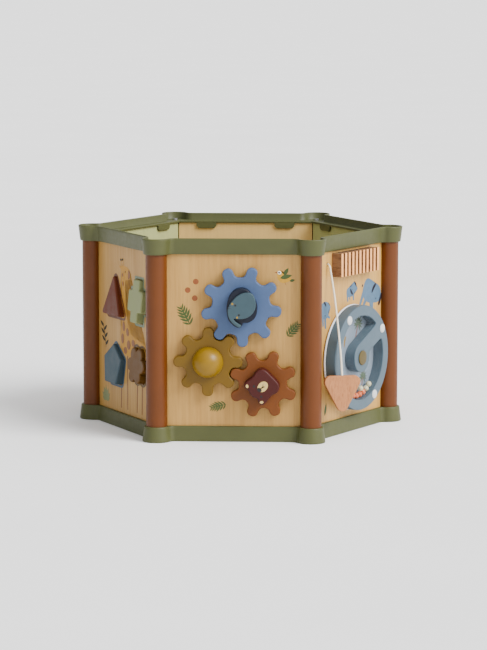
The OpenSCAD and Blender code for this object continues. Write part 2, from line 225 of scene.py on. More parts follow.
def plywood(name, k, light, mid, dark, inner=None):
    """Lacquered birch veneer with upright grain; the inside face may carry a pale stain."""
    m = Mat(name, 60 * k)
    wave = m.noise(m.scaled(1, 1, 0.16), 17, 3, 0.5, 1.2)
    fibre = m.noise(m.scaled(1, 1, 0.035), 330, 5, 0.65, 0.15)
    pore = m.noise(m.scaled(1, 1, 0.055), 900, 2, 0.5)
    base = m.ramp(wave, [(0.32, mid), (0.56, light), (0.74, mid)])
    base = m.mix(m.remap(fibre, 0.40, 0.72, 0.0, 0.42), base, dark)
    base = m.mix(m.remap(pore, 0.62, 0.74, 0.0, 0.30), base, tone(dark, 0.8))
    if inner:
        sep = m.node("ShaderNodeSeparateXYZ")
        m.link(m.co, sep.inputs["Vector"])
        inside = m.remap(sep.outputs["Y"], (-A + SHIFT + 5.5) / 1000, (-A + SHIFT + 6.5) / 1000)
        stain = m.ramp(fibre, [(0.3, tone(inner, 0.93)), (0.7, tone(inner, 1.05))])
        # the row frame's shift is along its own Y, so it is turned with the side
        off = m.map.inputs["Location"]
        a = math.radians(60 * k)
        off.default_value = (-SHIFT / 1000 * math.sin(a), SHIFT / 1000 * (1 - math.cos(a)), 0)
        base = m.mix(inside, base, stain)
    m.color(base)
    m.rough(fibre, 0.42, 0.56)
    m.bump(m.math("ADD", m.math("MULTIPLY", fibre, 0.7), m.math("MULTIPLY", pore, 0.4)), 0.18, 0.00015)
    m.b.inputs["Coat Weight"].default_value = 0.08
    m.b.inputs["Coat Roughness"].default_value = 0.35
    return m.m


def ink(name, c):
    """Screen-printed ink on veneer: slightly uneven, with the grain showing through."""
    m = Mat(name)
    g = m.noise(m.scaled(1, 1, 0.05), 420, 4, 0.6)
    cloud = m.noise(m.co, 210, 3, 0.6)
    base = m.ramp(cloud, [(0.3, tone(c, 0.90)), (0.7, tone(c, 1.08))])
    base = m.mix(m.remap(g, 0.55, 0.75, 0.0, 0.22), base, tone(c, 1.5))
    m.color(base)
    m.rough(g, 0.50, 0.62)
    m.bump(g, 0.10, 0.0001)
    return m.m


RIM = K(C(128, 132, 92), .285, .285, .185)
POST = C(178, 112, 58)
M = {}
M["rim"] = plastic("rim_green", RIM, (0.40, 0.52), 0.16, 0.14)
M["post"] = plastic("post_terracotta", K(C(176, 104, 48), .215, .165, .014), (0.40, 0.52), 0.08, 0.22)
WL, WM, WD = K(C(222, 196, 150), .64, .48, .22), K(C(212, 184, 136), .62, .46, .21), K(C(180, 146, 98), .58, .42, .20)
SAGE = K(C(206, 202, 166), .54, .60, .38)
PAINTED_SIDE_LIGHT = {"front": 1.0, "right": 1.15, "rear_right": 1.0, "rear": 1.05, "rear_left": 0.9, "left": 0.88}   # painted light and shade: each side's veneer is made lighter or darker for the light it gets, the right panel lighter and the left ones darker
for k, nm in enumerate(("front", "right", "rear_right", "rear", "rear_left", "left")):
    q = PAINTED_SIDE_LIGHT[nm]
    M["ply_" + nm] = plywood("plywood_" + nm, k, tone(WL, q), tone(WM, q), tone(WD, q), SAGE if nm in ("rear_left", "rear_right") else K(WL, 1.32, 1.52, 2.0))
M["blue"] = paint("blue_paint", K(C(122, 143, 182), .28, .335, .40))
M["navy"] = paint("navy_paint", K(C(44, 58, 88), .05, .09, .13), rough=(0.35, 0.5))
M["teal"] = paint("teal_paint", K(C(106, 146, 148), .215, .208, .25))
M["mustard"] = paint("mustard_paint", K(C(176, 137, 22), .28, .25, .01))
M["ball"] = paint("light_mustard_paint", K(C(206, 172, 72), .32, .26, .022), grain=(1, 9, 1), rough=(0.30, 0.42))
M["orange"] = paint("orange_paint", K(C(190, 110, 44), .246, .21, .022))
M["bear"] = paint("bear_paint", K(C(128, 46, 34), .19, .065, .01))
M["brick"] = paint("brick_paint", K(C(158, 88, 72), .27, .17, .045), 0)
M["sage"] = paint("sage_paint", K(C(166, 178, 142), .55, .52, .37), 0)
M["slate"] = paint("slate_paint", K(C(112, 136, 172), .21, .245, .19), 0)
M["ochre"] = paint("ochre_paint", K(C(152, 120, 54), .29, .20, .04), 0)
M["brick_edge"] = paint("brick_border", K(C(152, 100, 84), .30, .25, .165), 0)
M["sage_edge"] = paint("sage_border", K(C(142, 160, 140), .50, .48, .40), 0)
M["slate_edge"] = paint("slate_border", K(C(112, 134, 166), .28, .31, .265), 0)
M["ochre_edge"] = paint("ochre_border", K(C(146, 116, 66), .315, .28, .16), 0)
M["ring"] = plastic("drum_blue_grey", K(C(142, 162, 178), .245, .28, .29), (0.36, 0.48), 0.14, 0.10)
M["plate"] = plastic("drum_white", K(C(226, 230, 236), .92, .92, .92), (0.30, 0.42), 0.05, 0.08)
M["liner"] = plastic("drum_liner", K(C(176, 186, 196), .44, .48, .52), (0.40, 0.50), 0.0, 0.05)
M["pin"] = plastic("pin_white", K(C(238, 238, 234), .66, .66, .66), (0.25, 0.35), 0.05, 0.08)
M["cap"] = plastic("cap_ochre", K(C(150, 132, 84), .27, .255, .17), (0.45, 0.55), 0.1, 0.15)
M["bead_o"] = plastic("bead_orange", K(C(226, 148, 104), .80, .42, .22), (0.25, 0.35), 0.1, 0.1, 0.3)
M["bead_c"] = plastic("bead_cream", K(C(224, 218, 190), .70, .70, .60), (0.25, 0.35), 0.1, 0.1, 0.3)
M["nylon"] = plastic("nylon", C(228, 226, 218), (0.40, 0.55), 0.1, 0.1)
M["ink_green"] = ink("ink_leaf_green", K(C(86, 112, 66), .52, .46, .32))
M["ink_dark"] = ink("ink_dark_green", K(C(44, 52, 36), .40, .40, .40))
M["ink_sage"] = ink("ink_sage", K(C(142, 152, 116), .62, .60, .50))
M["ink_terra"] = ink("ink_terracotta", K(C(188, 108, 66), .42, .40, .30))
M["ink_yellow"] = ink("ink_yellow", K(C(224, 190, 102), .66, .50, .14))
M["ink_white"] = ink("ink_white", K(C(242, 240, 232), .90, .90, .90))
M["ink_black"] = ink("ink_black", C(30, 28, 28))
M["ink_blue"] = ink("ink_elephant_blue", K(C(132, 158, 182), .33, .40, .44))
M["ink_navy"] = ink("ink_navy", K(C(60, 52, 66), .36, .36, .36))
M["ink_sand"] = ink("ink_giraffe_sand", K(C(214, 184, 112), .60, .41, .12))
M["ink_spot"] = ink("ink_giraffe_spot", K(C(182, 128, 92), .40, .36, .28))
M["ink_brown"] = ink("ink_brown", K(C(168, 124, 90), .42, .38, .30))
M["ink_palm"] = ink("ink_palm_green", K(C(142, 156, 138), .26, .30, .24))
M["ink_cream"] = ink("ink_cream", K(C(226, 204, 150), .66, .60, .42))
M["ink_ochre"] = ink("ink_ochre", K(C(196, 160, 70), .46, .42, .20))


def wood(name, k, light, dark, along, scale=70, rough=(0.5, 0.65), bump=0.3):
    """Open-grained solid wood; along is the squash of each axis, smallest along the grain."""
    m = Mat(name, 60 * k)
    g = m.noise(m.scaled(*along), scale, 6, 0.65, 0.8)
    f = m.noise(m.scaled(*along), scale * 7, 3, 0.6)
    base = m.ramp(g, [(0.34, dark), (0.52, light), (0.66, tone(light, 1.06))])
    base = m.mix(m.remap(f, 0.55, 0.75, 0.0, 0.45), base, tone(dark, 0.8))
    base = m.mix(m.math("MULTIPLY", m.edge(), 0.18), base, tone(light, 1.35))
    m.color(base)
    m.rough(f, *rough)
    m.bump(m.math("ADD", g, m.math("MULTIPLY", f, 0.6)), bump, 0.0002)
    return m.m


M["walnut"] = wood("guiro_walnut", 1, K(C(168, 116, 78), .55, .62, .66), K(C(112, 70, 46), .55, .62, .66), (1, 1, 5), 45)
M["groove"] = wood("guiro_groove", 1, K(C(84, 52, 40), .30, .30, .30), K(C(50, 30, 26), .30, .30, .30), (1, 1, 5), 45)
M["ridge"] = wood("guiro_ridge", 1, K(C(236, 198, 158), 1.0, .66, .37), K(C(214, 166, 126), .92, .62, .36), (3, 3, 0.5), 70)
M["striker"] = wood("striker_wood", 1, K(C(216, 166, 134), .62, .46, .28), K(C(190, 136, 104), .62, .48, .30), (3.0, 3.0, 0.5), 200, (0.6, 0.75), 0.35)
# painted shade: the striker's sides take the dark reddish-brown of its shaded edge
M["striker_side_painted_shade"] = wood("striker_side_painted_shade", 1, K(C(150, 84, 62), .5, .45, .4), K(C(112, 58, 42), .5, .45, .4), (1.6, 1.6, 1.0), 260, (0.6, 0.75), 0.35)


def steel():
    m = Mat("zinc_steel")
    g = m.noise(m.scaled(1, 1, 14), 300, 3, 0.6)
    m.color(m.ramp(g, [(0.3, C(150, 150, 154)), (0.7, C(196, 196, 200))]))
    m.b.inputs["Metallic"].default_value = 0.9
    m.rough(g, 0.28, 0.42)
    m.bump(g, 0.08, 0.0001)
    return m.m


def braid():
    m = Mat("cotton_cord")
    w1 = m.node("ShaderNodeTexWave", wave_type="BANDS", bands_direction="DIAGONAL")
    w1.inputs["Scale"].default_value = 420
    w1.inputs["Distortion"].default_value = 1.5
    w1.inputs["Detail"].default_value = 1
    m.link(m.co, w1.inputs["Vector"])
    f = m.noise(m.co, 2400, 3, 0.7)
    base = m.ramp(w1.outputs["Fac"], [(0.2, C(214, 200, 172)), (0.7, C(246, 238, 220))])
    m.color(base)
    m.rough(f, 0.8, 0.95)
    m.bump(m.math("ADD", w1.outputs["Fac"], m.math("MULTIPLY", f, 0.5)), 0.5, 0.0003)
    m.b.inputs["Sheen Weight"].default_value = 0.3
    return m.m


def clear():
    m = Mat("clear_pane")
    s = m.noise(m.co, 60, 3, 0.5)
    m.color(m.ramp(s, [(0.3, C(96, 100, 104)), (0.7, C(112, 116, 120))]))
    m.rough(s, 0.04, 0.09)
    m.bump(s, 0.02, 0.0001)
    m.b.inputs["Alpha"].default_value = 0.03
    m.b.inputs["IOR"].default_value = 1.45
    m.m.surface_render_method = "BLENDED"
    return m.m


M["steel"] = steel()
M["cord"] = braid()
M["clear"] = clear()

# ---------------------------------------------------------------- mesh helpers


def finish_mesh(name, me, mat, body, replaces=(), angle=38, weld=True):
    bm = bmesh.new()
    bm.from_mesh(me)
    if weld:
        bmesh.ops.remove_doubles(bm, verts=bm.verts, dist=2e-6)
    bmesh.ops.dissolve_degenerate(bm, dist=1e-7, edges=bm.edges)
    bmesh.ops.recalc_face_normals(bm, faces=bm.faces)
    bm.to_mesh(me)
    bm.free()
    me.validate()
    for p in me.polygons:
        p.use_smooth = True
    me.set_sharp_from_angle(angle=math.radians(angle))
    me.materials.clear()
    for x in (mat if isinstance(mat, (list, tuple)) else [mat]):
        me.materials.append(x)
    ob = bpy.data.objects.new(name, me)
    scene.collection.objects.link(ob)
    if body:
        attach(ob, body)
    if replaces:
        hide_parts(*([replaces] if isinstance(replaces, str) else replaces))
    return ob


def weighted(ob):
    w = ob.modifiers.new("normals", "WEIGHTED_NORMAL")
    w.keep_sharp = True
    w.weight = 90
    return ob


def plate(name, loops, n0, n1, bevel, k, mat, body, replaces=(), pre=None, res=3, side_mat=None):
    """A solid cut to an outline, with rounded edges; loops after the first are holes. All in mm."""
    cu = bpy.data.curves.new(name + "_c", "CURVE")
    cu.dimensions = "2D"
    cu.fill_mode = "BOTH"
    cu.extrude = (n1 - n0) / 2 - bevel
    cu.bevel_depth = bevel
    cu.bevel_resolution = res
    cu.offset = -bevel
    for lp in loops:
        sp = cu.splines.new("POLY")
        sp.points.add(len(lp) - 1)
        for i, p in enumerate(lp):
            sp.points[i].co = (p[0], p[1], 0, 1)
        sp.use_cyclic_u = True
    tmp = bpy.data.objects.new(name + "_t", cu)
    scene.collection.objects.link(tmp)
    bpy.context.view_layer.update()
    me = bpy.data.meshes.new_from_object(tmp.evaluated_get(bpy.context.evaluated_depsgraph_get()))
    bpy.data.objects.remove(tmp)
    bpy.data.curves.remove(cu)
    me.name = name
    m = side_matrix(k)
    if pre is not None:
        m = m @ pre
    bm = bmesh.new()
    bm.from_mesh(me)
    bmesh.ops.remove_doubles(bm, verts=bm.verts, dist=0.002)
    bm.to_mesh(me)
    bm.free()
    me.transform(Matrix.Translation((0, 0, (n0 + n1) / 2)))
    if side_mat is not None:
        flags = [abs(p.normal.z) < 0.5 for p in me.polygons]
    me.transform(m)
    ob = finish_mesh(name, me, [mat, side_mat] if side_mat is not None else mat, body, replaces, 50)
    if side_mat is not None and len(flags) == len(ob.data.polygons):
        for p, f in zip(ob.data.polygons, flags):
            p.material_index = 1 if f else 0
    return weighted(ob)


def lathe(name, profile, c, k, mat, body, replaces=(), steps=64, pre=None):
    """Turned about the outward axis through c: profile is [(radius, outward), ...]."""
    bm = bmesh.new()
    rings = []
    for r, n in profile:
        if r < 1e-6:
            rings.append([bm.verts.new((c[0], c[1], n))])
        else:
            rings.append([bm.verts.new((c[0] + r * math.cos(2 * math.pi * i / steps), c[1] + r * math.sin(2 * math.pi * i / steps), n)) for i in range(steps)])
    closed = profile[0] != profile[-1] and profile[0][0] > 1e-6 and profile[-1][0] > 1e-6
    pairs = list(zip(rings, rings[1:])) + ([(rings[-1], rings[0])] if closed else [])
    for a, b in pairs:
        for i in range(steps):
            j = (i + 1) % steps
            if len(a) == 1 and len(b) == 1:
                continue
            if len(a) == 1:
                bm.faces.new((a[0], b[i], b[j]))
            elif len(b) == 1:
                bm.faces.new((a[i], b[0], a[j]))
            else:
                bm.faces.new((a[i], b[i], b[j], a[j]))
    me = bpy.data.meshes.new(name)
    bm.to_mesh(me)
    bm.free()
    me.transform(side_matrix(k) @ pre if pre is not None else side_matrix(k))
    return finish_mesh(name, me, mat, body, replaces, 50)


def decal(name, polys, n, k, mat, body="root", thick=0.10, pre=None):
    """Printed shapes: thin closed islands standing a tenth of a millimetre proud of a surface."""
    bm = bmesh.new()
    for step, poly in enumerate(polys):
        up = thick + 0.008 * (step % 24)
        if sum(p[0] * q[1] - q[0] * p[1] for p, q in zip(poly, poly[1:] + poly[:1])) < 0:
            poly = poly[::-1]
        lo = [bm.verts.new((p[0], p[1], n - 0.02)) for p in poly]
        hi = [bm.verts.new((p[0], p[1], n + up)) for p in poly]
        top = bm.faces.new(hi)
        bot = bm.faces.new(lo[::-1])
        for i in range(len(poly)):
            j = (i + 1) % len(poly)
            bm.faces.new((lo[i], lo[j], hi[j], hi[i]))
        bmesh.ops.triangulate(bm, faces=[top, bot], ngon_method="EAR_CLIP")
    me = bpy.data.meshes.new(name)
    bm.to_mesh(me)
    bm.free()
    me.transform(side_matrix(k) @ pre if pre is not None else side_matrix(k))
    return finish_mesh(name, me, mat, body, (), 40, weld=False)


# ---------------------------------------------------------------- outlines, in mm


def arc(c, r, a0, a1, n, skip=0):
    return [(c[0] + r * math.cos(math.radians(a0 + (a1 - a0) * i / n)), c[1] + r * math.sin(math.radians(a0 + (a1 - a0) * i / n))) for i in range(skip, n - skip + 1)]


def turn(p, deg):
    a = math.radians(deg)
    return (p[0] * math.cos(a) - p[1] * math.sin(a), p[0] * math.sin(a) + p[1] * math.cos(a))


def move(ps, dx, dy, deg=0, s=1.0, flip=False):
    out = []
    for p in ps:
        q = (-p[0], p[1]) if flip else p
        q = turn((q[0] * s, q[1] * s), deg)
        out.append((q[0] + dx, q[1] + dy))
    return out


def ellipse(cx, cy, rx, ry, deg=0, n=28):
    return [(cx + q[0], cy + q[1]) for q in (turn((rx * math.cos(2 * math.pi * i / n), ry * math.sin(2 * math.pi * i / n)), deg) for i in range(n))]


def leaf(cx, cy, length, width, deg, n=9):
    """A pointed leaf from its foot at (cx, cy)."""
    up = [(length * i / n, width / 2 * math.sin(math.pi * (i / n) ** 0.85)) for i in range(n + 1)]
    dn = [(p[0], -p[1]) for p in up[-2:0:-1]]
    return move(up + dn, cx, cy, deg)


def stroke(pts, w0, w1=None, n=5):
    """A band with round ends along a smooth line, from width w0 to w1."""
    w1 = w0 if w1 is None else w1
    ps = smooth_line(pts, n)
    L, R = [], []
    m = len(ps) - 1
    for i, p in enumerate(ps):
        a, b = ps[max(0, i - 1)], ps[min(m, i + 1)]
        d = math.hypot(b[0] - a[0], b[1] - a[1]) or 1
        nx, ny = -(b[1] - a[1]) / d, (b[0] - a[0]) / d
        w = (w0 + (w1 - w0) * i / m) / 2
        L.append((p[0] + nx * w, p[1] + ny * w))
        R.append((p[0] - nx * w, p[1] - ny * w))

    def cap(p, q, w):
        a0 = math.degrees(math.atan2(p[1] - q[1], p[0] - q[0]))
        c = ((p[0] + q[0]) / 2, (p[1] + q[1]) / 2)
        return arc(c, w / 2, a0, a0 - 180, 6, 1)
    return L + cap(L[-1], R[-1], w1) + R[::-1] + cap(R[0], L[0], w0)


def smooth_line(pts, n=5):
    out = []
    for i in range(len(pts) - 1):
        p0 = pts[max(0, i - 1)]; p1 = pts[i]; p2 = pts[i + 1]; p3 = pts[min(len(pts) - 1, i + 2)]
        for j in range(n):
            t = j / n
            out.append(tuple(0.5 * (2 * p1[c] + (p2[c] - p0[c]) * t + (2 * p0[c] - 5 * p1[c] + 4 * p2[c] - p3[c]) * t * t + (3 * p1[c] - p0[c] - 3 * p2[c] + p3[c]) * t ** 3) for c in range(len(p1))))
    out.append(tuple(pts[-1]))
    return out


def blob(pts, n=6):
    """A smooth closed outline through points."""
    m = len(pts)
    out = []
    for i in range(m):
        p0, p1, p2, p3 = pts[(i - 1) % m], pts[i], pts[(i + 1) % m], pts[(i + 2) % m]
        for j in range(n):
            t = j / n
            out.append(tuple(0.5 * (2 * p1[c] + (p2[c] - p0[c]) * t + (2 * p0[c] - 5 * p1[c] + 4 * p2[c] - p3[c]) * t * t + (3 * p1[c] - p0[c] - 3 * p2[c] + p3[c]) * t ** 3) for c in (0, 1)))
    return out


def resample(pts, step):
    out = []
    m = len(pts)
    total = sum(math.dist(pts[i], pts[(i + 1) % m]) for i in range(m))
    count = max(12, int(total / step))
    seg, acc, i = total / count, 0.0, 0
    d = math.dist(pts[0], pts[1 % m])
    pos = 0.0
    for q in range(count):
        t = q * seg
        while pos + d < t - 1e-9:
            pos += d
            i += 1
            d = math.dist(pts[i % m], pts[(i + 1) % m])
        f = (t - pos) / d if d else 0
        a, b = pts[i % m], pts[(i + 1) % m]
        out.append((a[0] + (b[0] - a[0]) * f, a[1] + (b[1] - a[1]) * f))
    return out


def soften(pts, step=0.9, reach=3, times=2):
    """Rounds an outline's corners."""
    ps = resample(pts, step)
    m = len(ps)
    for _ in range(times):
        ps = [(sum(ps[(i + j) % m][0] for j in range(-reach, reach + 1)) / (2 * reach + 1), sum(ps[(i + j) % m][1] for j in range(-reach, reach + 1)) / (2 * reach + 1)) for i in range(m)]
    return ps


def star_union(shapes, c=(0, 0), n=240):
    """The outer outline of overlapping closed shapes, seen from a point inside them."""
    out = []
    for i in range(n):
        a = 2 * math.pi * i / n
        dx, dy = math.cos(a), math.sin(a)
        best = 0.0
        for s in shapes:
            for p, q in zip(s, s[1:] + s[:1]):
                ex, ey = q[0] - p[0], q[1] - p[1]
                det = ex * dy - ey * dx
                if abs(det) < 1e-12:
                    continue
                px, py = p[0] - c[0], p[1] - c[1]
                t = (ex * py - ey * px) / det
                w = (dx * py - dy * px) / det
                if 0 <= w <= 1 and t > best:
                    best = t
        out.append((c[0] + dx * best, c[1] + dy * best))
    return out


def grow(pts, d):
    m = len(pts)
    area = sum(pts[i][0] * pts[(i + 1) % m][1] - pts[(i + 1) % m][0] * pts[i][1] for i in range(m))
    s = 1 if area > 0 else -1
    out = []
    for i in range(m):
        a, b = pts[i - 1], pts[(i + 1) % m]
        L = math.hypot(b[0] - a[0], b[1] - a[1]) or 1
        out.append((pts[i][0] + s * d * (b[1] - a[1]) / L, pts[i][1] - s * d * (b[0] - a[0]) / L))
    return out


# ---------------------------------------------------------------- the cord, its exit and route as in the CAD
ROUTE = [(0, 227.5), (2, 227.5), (3.9, 226.4), (5.1, 224.2), (6, 221), (7.9, 214), (9.75, 207), (11.5, 200), (13.2, 193), (14.75, 186), (16.25, 179), (17.6, 172), (18.9, 165), (20.2, 158), (21.5, 151), (22.75, 144), (24, 137), (25.1, 130), (26.2, 123), (27.2, 116), (28.1, 109), (28.9, 102), (29.6, 95), (30.1, 89), (30.487, 84.9)]
RUN = (-10.0, 28.8)
RL = math.hypot(*RUN)
cord_pts = [W(1, -55 + s * RUN[0] / RL, -3 + s * RUN[1] / RL, z) for s, z in smooth_line(ROUTE, 3)]
cu = bpy.data.curves.new("striker_cord_line", "CURVE")
cu.dimensions = "3D"
cu.bevel_depth = 0.00125
cu.bevel_resolution = 5
cu.use_fill_caps = True
sp = cu.splines.new("POLY")
sp.points.add(len(cord_pts) - 1)
for i, p in enumerate(cord_pts):
    sp.points[i].co = (p.x, p.y, p.z, 1)
    # the cord is squeezed a little where it bends over the edge of its hole
    sp.points[i].radius = 0.82 + 0.18 * min(1, max(0, ((p - cord_pts[0]).length * 1000 - 2.6) / 2.6))
sp.use_smooth = True
cord = bpy.data.objects.new("cotton_cord", cu)
scene.collection.objects.link(cord)
cu.materials.append(M["cord"])
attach(cord, "striker")
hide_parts("striker_cord")

# ---------------------------------------------------------------- rims: drafted walls with rolled edges
FIL_R, RAIL, LOBE = 8.0, 3.0, 19.0
FIL_N = RAIL + FIL_R
FIL_U = SIDE / 2 - math.sqrt((LOBE + FIL_R) ** 2 - FIL_N ** 2)
FC = ((A + FIL_N) * math.cos(math.radians(30)) + FIL_U * 0.5, -(A + FIL_N) * 0.5 + FIL_U * math.sin(math.radians(60)))
FA = math.degrees(math.atan2(-FC[1], SIDE - FC[0]))


def outline(o):
    corner = arc(FC, FIL_R + o, 150, FA, 9) + arc((SIDE, 0), LOBE - o, FA - 180, 180 - FA, 40, 1) + arc((FC[0], -FC[1]), FIL_R + o, -FA, -150, 9)
    out = []
    for k in range(6):
        c = [turn(p, 60 * k) for p in corner]
        nxt = turn(corner[0], 60 * (k + 1))
        out += c
        last = c[-1]
        for j in range(1, 8):
            out.append((last[0] + (nxt[0] - last[0]) * j / 8, last[1] + (nxt[1] - last[1]) * j / 8))
    return out


def hexring(apothem):
    """The hexagon's points that lie in the same directions as the outline's."""
    out = []
    for x, y in outline(0):
        a = math.degrees(math.atan2(y, x))
        rel = (a % 60) - 30
        r = apothem / math.cos(math.radians(rel))
        out.append((r * math.cos(math.radians(a)), r * math.sin(math.radians(a))))
    return out


def rim(name, rings, tabs, mat, replaces):
    bm = bmesh.new()
    vs = []
    for pts, z in rings:
        vs.append([bm.verts.new((p[0] / 1000, (p[1] + SHIFT) / 1000, z / 1000)) for p in pts])
    m = len(vs[0])
    for a, b in zip(vs, vs[1:] + vs[:1]):
        for i in range(m):
            j = (i + 1) % m
            bm.faces.new((a[i], a[j], b[j], b[i]))
    me = bpy.data.meshes.new(name)
    bm.to_mesh(me)
    bm.free()
    return finish_mesh(name, me, mat, "root", replaces, 42)


def rim_rings(top):
    """From the edge by the panels, up the outside, over the free edge, down to the web, and back."""
    h = 21.0 if top else 20.0
    draft = 2.3
    prof = []          # (outline offset or None, apothem or None, height above the panel edge)
    for o, y in ((3.6, 0.0), (2.95, 0.08), (2.55, 0.45), (2.35, 1.1)):
        prof.append((o, None, y))
    for i in range(1, 7):
        y = 1.1 + (h - 1.1 - 1.3) * i / 6
        prof.append((2.35 + (0.06 - 2.35) * i / 6, None, y))
    for o, y in ((0.14, h - 0.75), (0.42, h - 0.28), (0.95, h - 0.02), (1.3, h)):
        prof.append((o, None, y))
    for o, y in ((1.75, h), (2.2, h - 0.08), (2.7, h - 0.45), (2.9, h - 1.1), (3.35, h - 9.4)):
        prof.append((o, None, y))
    prof.append((3.75, None, h - 9.9))
    for a, y in ((A - 10.9, h - 10.0), (A - 11.7, h - 10.15), (A - 12.0, h - 10.7), (A - 12.0, h - 12.4), (A - 11.7, h - 12.9), (A - 11.2, h - 13.0), (A - 2.72, h - 13.0), (A - 2.72, 0.5), (A - 2.4, 0.0)):
        prof.append((None, a, y))
    out = []
    for o, a, y in prof:
        z = H - h + y if top else h - y
        out.append((outline(o) if o is not None else hexring(a), z))
    return out


top_rim = rim("top_rim_moulding", rim_rings(True), None, M["rim"], "top_rim")
bottom_rim = rim("bottom_rim_moulding", rim_rings(False), None, M["rim"], "bottom_rim")
for nm, lo, hi, cut_low in (("top", H - 20.5, H - 12.6, True), ("bottom", 12.6, 19.5, False)):
    for k in range(6):
        for s in (-1, 1):
            c = 55 * s
            if cut_low:
                pts = [(c - 14, hi), (c + 14, hi), (c + 14, lo + 3), (c + 11, lo), (c - 11, lo), (c - 14, lo + 3)]
            else:
                pts = [(c - 14, lo), (c + 14, lo), (c + 14, hi - 3), (c + 11, hi), (c - 11, hi), (c - 14, hi - 3)]
            plate(f"{nm}_clip_tab_{k}{'a' if s < 0 else 'b'}", [pts], -12.0, -9.3, 0.4, k, M["rim"], "root", res=2)

# ---------------------------------------------------------------- CAD nodes that keep their own shape


def dress(node, mat):
    o = nodes[node]
    o.data.materials.clear()
    o.data.materials.append(mat)


for n in nodes:
    if n.startswith("post_"):
        dress(n, M["post"])
for nm in ("front", "right", "rear_right", "rear", "rear_left", "left"):
    dress(nm + "_panel", M["ply_" + nm])
for n in ("top_screws", "bottom_screws", "gear_axles", "drum_axle", "guiro_screws"):
    dress(n, M["steel"])
for n in ("gear_washers", "axle_caps", "drum_washer", "drum_axle_cap"):
    dress(n, M["nylon"])
dress("cord_knot", M["cord"])
dress("drum_windows", M["clear"])

# ---------------------------------------------------------------- gears
BLUE, YELLOW, ORANGE = (9.8, 177.3), (-33.2, 105.2), (38.0, 76.6)
GB, GF = -1.2, 8.8
Y_PH = -0.5
d_by = math.degrees(math.atan2(BLUE[1] - YELLOW[1], BLUE[0] - YELLOW[0]))
d_oy = math.degrees(math.atan2(ORANGE[1] - YELLOW[1], ORANGE[0] - YELLOW[0]))
B_PH = d_by + 180 + 40 * (0.5 - (Y_PH - d_by) / 45)
O_PH = d_oy + 180 + 45 * (0.5 - (Y_PH - d_oy) / 45)


def gear_outline(teeth, ro, rr, v, phase, c):
    w, tip = 7.0, 6.4
    hy = math.sqrt((rr + v) ** 2 - (w + v) ** 2)
    a = math.degrees(math.atan((w + v) / hy))
    t = arc((hy, -w - v), v, 180 - a, 90, 9) + arc((ro - tip, tip - w), tip, -90, 0, 9) + arc((ro - tip, w - tip), tip, 0, 90, 9) + arc((hy, w + v), v, -90, a - 180, 9)
    return [(q[0] + c[0], q[1] + c[1]) for k in range(teeth) for q in (turn(p, 360 / teeth * k + phase) for p in t)]


plate("blue_gear_wheel", [gear_outline(9, 52.2, 37.6, 6.5, B_PH, BLUE)], GB, GF, 1.5, 0, M["blue"], "blue_gear", "blue_gear", res=4)
plate("yellow_gear_wheel", [gear_outline(8, 44.6, 31, 6.5, Y_PH, YELLOW)], GB, GF, 1.5, 0, M["mustard"], "yellow_gear", "yellow_gear", res=4)
plate("orange_gear_wheel", [gear_outline(8, 44.4, 31, 6.5, O_PH, ORANGE)], GB, GF, 1.5, 0, M["orange"], "orange_gear", "orange_gear", res=4)

# ball knob: a short foot under a sphere
prof = [(0, GF - 0.3), (19.4, GF - 0.3), (19.8, GF + 0.2)]
prof += [(20 * math.cos(math.radians(t)), GF + 1.2 + 20 * math.sin(math.radians(t))) for t in range(0, 90, 3)] + [(0, GF + 21.2)]
lathe("ball_knob_turned", prof, YELLOW, 0, M["ball"], "yellow_gear", "ball_knob", 96)

# elephant knob: navy head, and a teal face plate that runs into its trunk
BX, BZ = BLUE
navy = blob([(-18.0, -1), (-16.6, 8.5), (-13.6, 17.0), (-7.2, 23.6), (1.5, 25.7), (9.2, 23.0), (15.4, 15.8), (20.4, 5.6), (21.0, -4.5), (18.0, -13.0), (10.6, -18.2), (3.4, -19.0), (0.6, -24.2), (-4.6, -24.8), (-11.0, -20.6), (-15.8, -14.2)], 8)
plate("elephant_head", [move(navy, BX, BZ)], GF, GF + 15, 1.2, 0, M["navy"], "blue_gear", "elephant_knob", res=4)
face = [(8.4, 20.8), (3.0, 20.0), (-1.9, 17.8), (-6.3, 14.6), (-9.8, 10.6), (-12.6, 7.4), (-14.6, 4.0), (-15.9, 0.6), (-16.3, -3.4), (-16.0, -7.4), (-14.6, -11.8), (-12.0, -16.2), (-8.6, -19.9), (-4.8, -22.6), (-1.8, -23.9), (0.5, -23.2), (0.6, -21.2), (-2.2, -19.4), (-5.6, -17.0), (-8.0, -14.4), (-8.2, -12.9), (-5.6, -12.9), (-1.7, -13.4), (3.2, -13.0), (7.9, -11.8), (12.3, -9.4), (15.9, -5.8), (18.4, -1.6), (19.6, 2.8), (19.6, 7.4), (18.6, 12.6), (16.6, 17.2), (12.8, 20.2)]
plate("elephant_face_plate", [move(blob(face, 3), BX, BZ)], GF + 14.6, GF + 21, 1.0, 0, M["teal"], "blue_gear", "elephant_face", res=4)
EF = GF + 21.0
decal("elephant_eyes", [ellipse(BX - 6.4, BZ + 4.6, 1.35, 1.35), ellipse(BX - 1.8, BZ - 7.9, 1.35, 1.35)], EF, 0, M["ink_black"], "blue_gear")
decal("elephant_cheeks", [ellipse(BX - 10.2, BZ + 6.6, 1.4, 1.4), ellipse(BX - 4.0, BZ - 11.0, 1.3, 1.3)], EF, 0, M["ink_ochre"], "blue_gear")
decal("elephant_trunk_creases", [stroke([(BX - 15.2, BZ + 2.6), (BX - 12.6, BZ + 3.4)], 0.5), stroke([(BX - 15.6, BZ + 0.2), (BX - 12.4, BZ + 0.8)], 0.5)], EF, 0, M["ink_navy"], "blue_gear")

# bear knob
bear_body = [ellipse(-1, 13, 9.8, 9.8, n=48), ellipse(12.5, -0.5, 9.6, 9.6, n=48), ellipse(-6, -4, 11.5, 11.5, n=60)]


